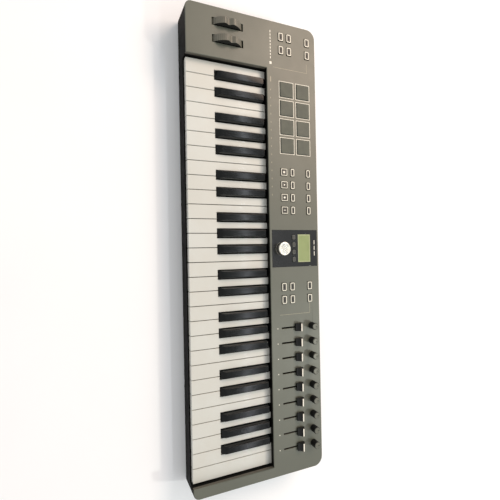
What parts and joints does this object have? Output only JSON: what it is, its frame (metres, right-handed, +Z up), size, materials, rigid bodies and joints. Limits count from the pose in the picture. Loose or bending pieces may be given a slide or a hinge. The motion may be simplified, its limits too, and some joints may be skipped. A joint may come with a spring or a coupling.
{
  "type": "midi keyboard",
  "caption": "Keyboard controller with sprung white and black keys, pitch and modulation wheels, drum pads, faders, knobs, buttons and a small display in a slim case.",
  "frame": {"origin": "middle of the case's plan, on the surface that the rubber feet stand on", "axes": "+X along the keys towards the treble end, +Y from the key fronts to the back of the case, +Z up"},
  "size_m": [0.784, 0.238, 0.0735],
  "materials": {
    "lower_shell": "fine texture",
    "upper_shell": "satin",
    "chassis_plastic": "plain",
    "spring_steel": "drawn",
    "circuit_board": "solder mask",
    "silicone": "moulded",
    "display_black": "gloss",
    "lcd_film": "clear front",
    "pot_steel": "pressed",
    "socket_black": "moulded",
    "foot_rubber": "moulded",
    "screw_steel": "blackened",
    "wheel_plastic": "ribbed",
    "encoder_metal": "spun",
    "button_plastic": "satin",
    "soft_button": "satin",
    "white_key": "polished",
    "black_key": "polished",
    "pad_silicone": "soft satin",
    "cap_black": "satin"
  },
  "bodies": {
    "case": {"bottom_case": "lower_shell", "top_panel": "upper_shell", "keybed_frame": "chassis_plastic", "pivot_rod_springs": "spring_steel", "contact_board": "circuit_board", "contact_strip": "silicone", "control_board": "circuit_board", "display_bezel": "display_black", "lcd_window": "lcd_film", "wheel_bracket": "chassis_plastic", "potentiometers": "pot_steel", "rear_sockets": "socket_black", "rubber_feet": "foot_rubber", "case_screws": "screw_steel"},
    "keys_c": {"keys_c": "white_key"},
    "keys_d": {"keys_d": "white_key"},
    "keys_e": {"keys_e": "white_key"},
    "keys_f": {"keys_f": "white_key"},
    "keys_g": {"keys_g": "white_key"},
    "keys_a": {"keys_a": "white_key"},
    "keys_b": {"keys_b": "white_key"},
    "keys_c_sharp": {"keys_c_sharp": "black_key"},
    "keys_d_sharp": {"keys_d_sharp": "black_key"},
    "keys_f_sharp": {"keys_f_sharp": "black_key"},
    "keys_g_sharp": {"keys_g_sharp": "black_key"},
    "keys_a_sharp": {"keys_a_sharp": "black_key"},
    "pitch_wheel": {"pitch_wheel": "wheel_plastic"},
    "mod_wheel": {"mod_wheel": "wheel_plastic"},
    "encoder": {"encoder_knob": "encoder_metal"},
    "pad_1": {"pad_1": "pad_silicone"},
    "pad_2": {"pad_2": "pad_silicone"},
    "pad_3": {"pad_3": "pad_silicone"},
    "pad_4": {"pad_4": "pad_silicone"},
    "pad_5": {"pad_5": "pad_silicone"},
    "pad_6": {"pad_6": "pad_silicone"},
    "pad_7": {"pad_7": "pad_silicone"},
    "pad_8": {"pad_8": "pad_silicone"},
    "fader_1": {"fader_1": "cap_black"},
    "fader_2": {"fader_2": "cap_black"},
    "fader_3": {"fader_3": "cap_black"},
    "fader_4": {"fader_4": "cap_black"},
    "fader_5": {"fader_5": "cap_black"},
    "fader_6": {"fader_6": "cap_black"},
    "fader_7": {"fader_7": "cap_black"},
    "fader_8": {"fader_8": "cap_black"},
    "fader_9": {"fader_9": "cap_black"},
    "knob_1": {"knob_1": "cap_black"},
    "knob_2": {"knob_2": "cap_black"},
    "knob_3": {"knob_3": "cap_black"},
    "knob_4": {"knob_4": "cap_black"},
    "knob_5": {"knob_5": "cap_black"},
    "knob_6": {"knob_6": "cap_black"},
    "knob_7": {"knob_7": "cap_black"},
    "knob_8": {"knob_8": "cap_black"},
    "knob_9": {"knob_9": "cap_black"},
    "left_buttons": {"left_buttons": "button_plastic"},
    "transport_buttons": {"transport_buttons": "button_plastic"},
    "command_buttons": {"command_buttons": "button_plastic"},
    "display_buttons": {"display_buttons": "soft_button"},
    "right_buttons": {"right_buttons": "button_plastic"}
  },
  "joints": [
    {"name": "keys_c_press", "type": "hinge", "parent": "case", "child": "keys_c", "pos_m": [0, 0.0415, 0.0385], "axis": [1, 0, 0], "range_deg": [0, 3.6], "stiffness_Nm_per_rad": 2.4, "springref_deg": -11.46},
    {"name": "keys_d_press", "type": "hinge", "parent": "case", "child": "keys_d", "pos_m": [0, 0.0415, 0.0385], "axis": [1, 0, 0], "range_deg": [0, 3.6], "stiffness_Nm_per_rad": 2.4, "springref_deg": -11.46},
    {"name": "keys_e_press", "type": "hinge", "parent": "case", "child": "keys_e", "pos_m": [0, 0.0415, 0.0385], "axis": [1, 0, 0], "range_deg": [0, 3.6], "stiffness_Nm_per_rad": 2.4, "springref_deg": -11.46},
    {"name": "keys_f_press", "type": "hinge", "parent": "case", "child": "keys_f", "pos_m": [0, 0.0415, 0.0385], "axis": [1, 0, 0], "range_deg": [0, 3.6], "stiffness_Nm_per_rad": 2.4, "springref_deg": -11.46},
    {"name": "keys_g_press", "type": "hinge", "parent": "case", "child": "keys_g", "pos_m": [0, 0.0415, 0.0385], "axis": [1, 0, 0], "range_deg": [0, 3.6], "stiffness_Nm_per_rad": 2.4, "springref_deg": -11.46},
    {"name": "keys_a_press", "type": "hinge", "parent": "case", "child": "keys_a", "pos_m": [0, 0.0415, 0.0385], "axis": [1, 0, 0], "range_deg": [0, 3.6], "stiffness_Nm_per_rad": 2.4, "springref_deg": -11.46},
    {"name": "keys_b_press", "type": "hinge", "parent": "case", "child": "keys_b", "pos_m": [0, 0.0415, 0.0385], "axis": [1, 0, 0], "range_deg": [0, 3.6], "stiffness_Nm_per_rad": 2.4, "springref_deg": -11.46},
    {"name": "keys_c_sharp_press", "type": "hinge", "parent": "case", "child": "keys_c_sharp", "pos_m": [0, 0.0415, 0.0385], "axis": [1, 0, 0], "range_deg": [0, 3.6], "stiffness_Nm_per_rad": 1.4, "springref_deg": -11.46},
    {"name": "keys_d_sharp_press", "type": "hinge", "parent": "case", "child": "keys_d_sharp", "pos_m": [0, 0.0415, 0.0385], "axis": [1, 0, 0], "range_deg": [0, 3.6], "stiffness_Nm_per_rad": 1.4, "springref_deg": -11.46},
    {"name": "keys_f_sharp_press", "type": "hinge", "parent": "case", "child": "keys_f_sharp", "pos_m": [0, 0.0415, 0.0385], "axis": [1, 0, 0], "range_deg": [0, 3.6], "stiffness_Nm_per_rad": 1.4, "springref_deg": -11.46},
    {"name": "keys_g_sharp_press", "type": "hinge", "parent": "case", "child": "keys_g_sharp", "pos_m": [0, 0.0415, 0.0385], "axis": [1, 0, 0], "range_deg": [0, 3.6], "stiffness_Nm_per_rad": 1.4, "springref_deg": -11.46},
    {"name": "keys_a_sharp_press", "type": "hinge", "parent": "case", "child": "keys_a_sharp", "pos_m": [0, 0.0415, 0.0385], "axis": [1, 0, 0], "range_deg": [0, 3.6], "stiffness_Nm_per_rad": 1.4, "springref_deg": -11.46},
    {"name": "pitch_bend", "type": "hinge", "parent": "case", "child": "pitch_wheel", "pos_m": [-0.36745, -0.0485, 0.041], "axis": [1, 0, 0], "range_deg": [-30, 30], "stiffness_Nm_per_rad": 0.12},
    {"name": "mod_turn", "type": "hinge", "parent": "case", "child": "mod_wheel", "pos_m": [-0.3397, -0.0485, 0.041], "axis": [1, 0, 0], "range_deg": [-24, 42]},
    {"name": "encoder_turn", "type": "hinge", "parent": "case", "child": "encoder", "pos_m": [0.001, 0.0435, 0.066], "axis": [0, 0, 1], "continuous": true},
    {"name": "pad_1_press", "type": "slide", "parent": "case", "child": "pad_1", "axis": [0, 0, -1], "range_m": [0, 0.0015], "stiffness_N_per_m": 1000, "springref_m": -0.001},
    {"name": "pad_2_press", "type": "slide", "parent": "case", "child": "pad_2", "axis": [0, 0, -1], "range_m": [0, 0.0015], "stiffness_N_per_m": 1000, "springref_m": -0.001},
    {"name": "pad_3_press", "type": "slide", "parent": "case", "child": "pad_3", "axis": [0, 0, -1], "range_m": [0, 0.0015], "stiffness_N_per_m": 1000, "springref_m": -0.001},
    {"name": "pad_4_press", "type": "slide", "parent": "case", "child": "pad_4", "axis": [0, 0, -1], "range_m": [0, 0.0015], "stiffness_N_per_m": 1000, "springref_m": -0.001},
    {"name": "pad_5_press", "type": "slide", "parent": "case", "child": "pad_5", "axis": [0, 0, -1], "range_m": [0, 0.0015], "stiffness_N_per_m": 1000, "springref_m": -0.001},
    {"name": "pad_6_press", "type": "slide", "parent": "case", "child": "pad_6", "axis": [0, 0, -1], "range_m": [0, 0.0015], "stiffness_N_per_m": 1000, "springref_m": -0.001},
    {"name": "pad_7_press", "type": "slide", "parent": "case", "child": "pad_7", "axis": [0, 0, -1], "range_m": [0, 0.0015], "stiffness_N_per_m": 1000, "springref_m": -0.001},
    {"name": "pad_8_press", "type": "slide", "parent": "case", "child": "pad_8", "axis": [0, 0, -1], "range_m": [0, 0.0015], "stiffness_N_per_m": 1000, "springref_m": -0.001},
    {"name": "fader_1_slide", "type": "slide", "parent": "case", "child": "fader_1", "axis": [0, 1, 0], "range_m": [-0.03, 0]},
    {"name": "fader_2_slide", "type": "slide", "parent": "case", "child": "fader_2", "axis": [0, 1, 0], "range_m": [-0.03, 0]},
    {"name": "fader_3_slide", "type": "slide", "parent": "case", "child": "fader_3", "axis": [0, 1, 0], "range_m": [-0.03, 0]},
    {"name": "fader_4_slide", "type": "slide", "parent": "case", "child": "fader_4", "axis": [0, 1, 0], "range_m": [-0.03, 0]},
    {"name": "fader_5_slide", "type": "slide", "parent": "case", "child": "fader_5", "axis": [0, 1, 0], "range_m": [-0.03, 0]},
    {"name": "fader_6_slide", "type": "slide", "parent": "case", "child": "fader_6", "axis": [0, 1, 0], "range_m": [-0.03, 0]},
    {"name": "fader_7_slide", "type": "slide", "parent": "case", "child": "fader_7", "axis": [0, 1, 0], "range_m": [-0.03, 0]},
    {"name": "fader_8_slide", "type": "slide", "parent": "case", "child": "fader_8", "axis": [0, 1, 0], "range_m": [-0.03, 0]},
    {"name": "fader_9_slide", "type": "slide", "parent": "case", "child": "fader_9", "axis": [0, 1, 0], "range_m": [-0.03, 0]},
    {"name": "knob_1_turn", "type": "hinge", "parent": "case", "child": "knob_1", "pos_m": [0.1387, 0.1005, 0.066], "axis": [0, 0, 1], "range_deg": [-150, 150]},
    {"name": "knob_2_turn", "type": "hinge", "parent": "case", "child": "knob_2", "pos_m": [0.16485, 0.1005, 0.066], "axis": [0, 0, 1], "range_deg": [-150, 150]},
    {"name": "knob_3_turn", "type": "hinge", "parent": "case", "child": "knob_3", "pos_m": [0.191, 0.1005, 0.066], "axis": [0, 0, 1], "range_deg": [-150, 150]},
    {"name": "knob_4_turn", "type": "hinge", "parent": "case", "child": "knob_4", "pos_m": [0.21715, 0.1005, 0.066], "axis": [0, 0, 1], "range_deg": [-150, 150]},
    {"name": "knob_5_turn", "type": "hinge", "parent": "case", "child": "knob_5", "pos_m": [0.2433, 0.1005, 0.066], "axis": [0, 0, 1], "range_deg": [-150, 150]},
    {"name": "knob_6_turn", "type": "hinge", "parent": "case", "child": "knob_6", "pos_m": [0.26945, 0.1005, 0.066], "axis": [0, 0, 1], "range_deg": [-150, 150]},
    {"name": "knob_7_turn", "type": "hinge", "parent": "case", "child": "knob_7", "pos_m": [0.2956, 0.1005, 0.066], "axis": [0, 0, 1], "range_deg": [-150, 150]},
    {"name": "knob_8_turn", "type": "hinge", "parent": "case", "child": "knob_8", "pos_m": [0.32175, 0.1005, 0.066], "axis": [0, 0, 1], "range_deg": [-150, 150]},
    {"name": "knob_9_turn", "type": "hinge", "parent": "case", "child": "knob_9", "pos_m": [0.3479, 0.1005, 0.066], "axis": [0, 0, 1], "range_deg": [-150, 150]},
    {"name": "left_buttons_press", "type": "slide", "parent": "case", "child": "left_buttons", "axis": [0, 0, -1], "range_m": [0, 0.0008], "stiffness_N_per_m": 1500, "springref_m": -0.0005},
    {"name": "transport_buttons_press", "type": "slide", "parent": "case", "child": "transport_buttons", "axis": [0, 0, -1], "range_m": [0, 0.0008], "stiffness_N_per_m": 1500, "springref_m": -0.0005},
    {"name": "command_buttons_press", "type": "slide", "parent": "case", "child": "command_buttons", "axis": [0, 0, -1], "range_m": [0, 0.0008], "stiffness_N_per_m": 1500, "springref_m": -0.0005},
    {"name": "display_buttons_press", "type": "slide", "parent": "case", "child": "display_buttons", "axis": [0, 0, -1], "range_m": [0, 0.0008], "stiffness_N_per_m": 1500, "springref_m": -0.0005},
    {"name": "right_buttons_press", "type": "slide", "parent": "case", "child": "right_buttons", "axis": [0, 0, -1], "range_m": [0, 0.0008], "stiffness_N_per_m": 1500, "springref_m": -0.0005}
  ]
}
